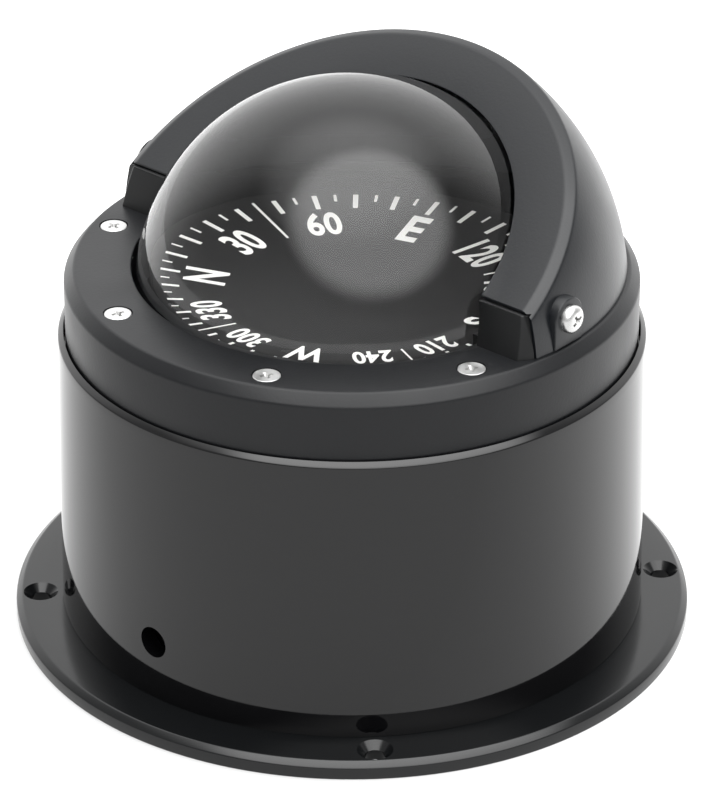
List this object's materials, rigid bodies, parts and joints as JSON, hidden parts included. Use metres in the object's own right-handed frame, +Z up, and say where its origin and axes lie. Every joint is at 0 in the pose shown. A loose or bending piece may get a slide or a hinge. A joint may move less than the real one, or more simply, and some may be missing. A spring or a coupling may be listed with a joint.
{
  "type": "binnacle compass",
  "caption": "Domed card compass under a half hood, in a straight housing with a round flange that bolts to a level surface; the card turns and swings in gimbals.",
  "frame": {"origin": "centre of the flange's underside, where the compass stands", "axes": "+Z up along the housing's centre line, +Y towards the boat's bow, -Y towards the helmsman and the open side of the hood, +X to starboard"},
  "size_m": [0.14, 0.14, 0.1158],
  "materials": {
    "flange_black": "turned metal, black, half gloss",
    "tube_gloss_black": "gloss black",
    "rubber_black": "soft rubber",
    "bezel_matte_black": "fine-grained matte black",
    "hood_matte_black": "fine-grained matte black",
    "post_black": "smooth black",
    "stainless": "stainless steel",
    "clear_acrylic": "clear polished acrylic",
    "bowl_plastic": "black moulded plastic",
    "brass": "turned brass",
    "lamp_red": "red lens plastic",
    "gimbal_dark": "dark moulded plastic",
    "lubber_white": "white",
    "card_black": "flat black with white marks",
    "float_dark": "dark moulded plastic",
    "jewel": "polished jewel",
    "magnet_steel": "bare magnet steel"
  },
  "bodies": {
    "housing": {"base_flange": "flange_black", "bezel_ring": "bezel_matte_black", "bezel_screw_1": "stainless", "bezel_screw_2": "stainless", "bezel_screw_3": "stainless", "bezel_screw_4": "stainless", "bezel_screw_5": "stainless", "bezel_screw_6": "stainless", "bezel_screw_7": "stainless", "bezel_screw_8": "stainless", "bowl": "bowl_plastic", "corrector_block": "bowl_plastic", "diaphragm": "rubber_black", "diaphragm_clamp": "bowl_plastic", "dome": "clear_acrylic", "dome_gasket": "rubber_black", "fill_plug": "brass", "head_gasket": "rubber_black", "hood": "hood_matte_black", "hood_post_left": "post_black", "hood_post_right": "post_black", "hood_screw_left": "stainless", "hood_screw_right": "stainless", "housing_tube": "tube_gloss_black", "lamp": "lamp_red", "lamp_socket": "lamp_red", "long_screw_1": "stainless", "long_screw_2": "stainless", "long_screw_3": "stainless", "long_screw_4": "stainless", "post_screw_left": "stainless", "post_screw_right": "stainless"},
    "gimbal": {"gimbal_ring": "gimbal_dark", "roll_pin_front": "brass", "roll_pin_rear": "brass", "pitch_pin_left": "brass", "pitch_pin_right": "brass", "lubber_pin": "lubber_white"},
    "carrier": {"pivot_yoke": "gimbal_dark", "pivot_post": "stainless", "counterweight": "brass"},
    "card": {"card": "card_black", "card_float": "float_dark", "jewel_cup": "jewel", "magnet_left": "magnet_steel", "magnet_right": "magnet_steel"},
    "corrector_fore": {"corrector_shaft_fore": "brass", "corrector_magnet_fore": "magnet_steel"},
    "corrector_cross": {"corrector_shaft_cross": "brass", "corrector_magnet_cross": "magnet_steel"}
  },
  "joints": [
    {"name": "gimbal_roll", "type": "hinge", "parent": "housing", "child": "gimbal", "pos_m": [0, 0, 0.072], "axis": [0, 1, 0], "range_deg": [-30, 30]},
    {"name": "gimbal_pitch", "type": "hinge", "parent": "gimbal", "child": "carrier", "pos_m": [0, 0, 0.072], "axis": [1, 0, 0], "range_deg": [-30, 30]},
    {"name": "card_turn", "type": "hinge", "parent": "carrier", "child": "card", "pos_m": [0, 0, 0.06706], "axis": [0, 0, 1], "continuous": true},
    {"name": "corrector_fore_turn", "type": "hinge", "parent": "housing", "child": "corrector_fore", "pos_m": [0, 0, 0.01633], "axis": [0, 1, 0], "continuous": true},
    {"name": "corrector_cross_turn", "type": "hinge", "parent": "housing", "child": "corrector_cross", "pos_m": [0, 0, 0.02213], "axis": [1, 0, 0], "continuous": true}
  ]
}
